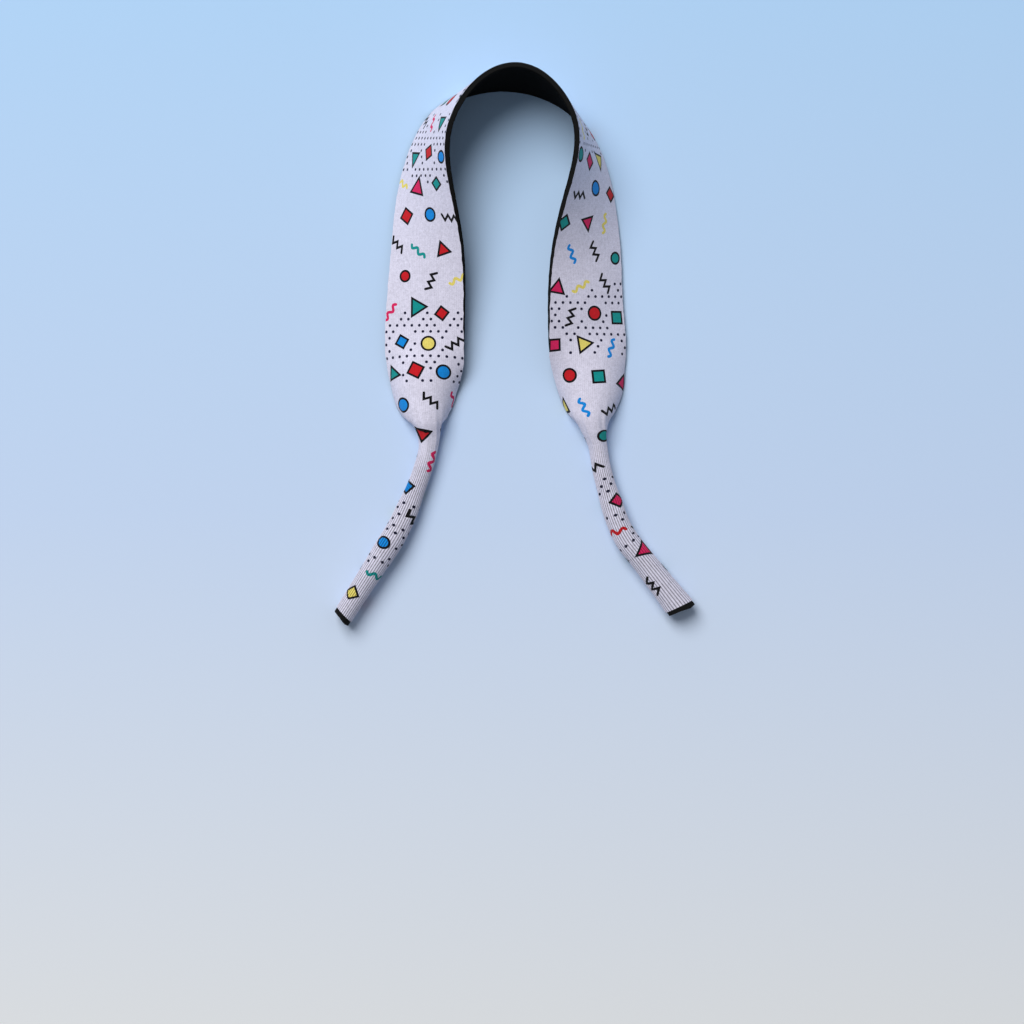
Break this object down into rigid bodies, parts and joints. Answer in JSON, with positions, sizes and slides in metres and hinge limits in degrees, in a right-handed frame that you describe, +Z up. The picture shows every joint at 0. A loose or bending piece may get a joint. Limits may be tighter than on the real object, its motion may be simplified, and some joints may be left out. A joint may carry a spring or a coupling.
{
  "type": "eyeglass retainer strap",
  "caption": "Soft patterned neck strap for glasses: a foam-backed band, open loop, narrowing at each end to a rolled sleeve that grips a temple tip.",
  "frame": {"origin": "centre of the bounding box in plan, at the height of the surface the strap rests on", "axes": "+Z up from the resting surface; +Y from the sleeve mouths towards the back of the loop; +X to the right seen from above with the sleeves nearest"},
  "size_m": [0.1238, 0.189, 0.0286],
  "materials": {
    "print": null,
    "foam": "matt closed-cell foam",
    "lining": "matt black knit",
    "thread": "satin polyester thread"
  },
  "bodies": {
    "crown": {"crown_print": "print", "crown_foam": "foam", "crown_lining": "lining"},
    "left_arm": {"left_arm_print": "print", "left_arm_foam": "foam", "left_arm_lining": "lining", "left_throat_bartack": "thread"},
    "right_arm": {"right_arm_print": "print", "right_arm_foam": "foam", "right_arm_lining": "lining", "right_throat_bartack": "thread"},
    "left_neck": {"left_neck_print": "print", "left_neck_foam": "foam", "left_neck_lining": "lining", "left_neck_seam": "thread"},
    "right_neck": {"right_neck_print": "print", "right_neck_foam": "foam", "right_neck_lining": "lining", "right_neck_seam": "thread"},
    "left_socket": {"left_socket_print": "print", "left_socket_foam": "foam", "left_socket_lining": "lining", "left_socket_seam": "thread"},
    "right_socket": {"right_socket_print": "print", "right_socket_foam": "foam", "right_socket_lining": "lining", "right_socket_seam": "thread"}
  },
  "joints": [
    {"name": "left_shoulder_flex", "type": "hinge", "parent": "crown", "child": "left_arm", "pos_m": [-0.02811, 0.06677, 0.01295], "axis": [-0.4659, 0.1164, -0.8771], "range_deg": [-10, 70], "stiffness_Nm_per_rad": 0.0015},
    {"name": "right_shoulder_flex", "type": "hinge", "parent": "crown", "child": "right_arm", "pos_m": [0.02616, 0.06656, 0.01377], "axis": [-0.3062, -0.0689, 0.9495], "range_deg": [-10, 70], "stiffness_Nm_per_rad": 0.0015},
    {"name": "left_throat_flex", "type": "hinge", "parent": "left_arm", "child": "left_neck", "pos_m": [-0.02912, -0.03644, 0.00369], "axis": [0.9646, -0.2638, 0.0011], "range_deg": [-32, 32], "stiffness_Nm_per_rad": 0.001},
    {"name": "right_throat_flex", "type": "hinge", "parent": "right_arm", "child": "right_neck", "pos_m": [0.02997, -0.03474, 0.0037], "axis": [-0.986, -0.167, -0.0014], "range_deg": [-32, 32], "stiffness_Nm_per_rad": 0.001},
    {"name": "left_tip_swing", "type": "hinge", "parent": "left_neck", "child": "left_socket", "pos_m": [-0.04145, -0.06584, 0.00454], "axis": [0, 0, 1], "range_deg": [-28, 28], "stiffness_Nm_per_rad": 0.001},
    {"name": "right_tip_swing", "type": "hinge", "parent": "right_neck", "child": "right_socket", "pos_m": [0.03926, -0.06461, 0.00454], "axis": [0, 0, 1], "range_deg": [-28, 28], "stiffness_Nm_per_rad": 0.001}
  ]
}
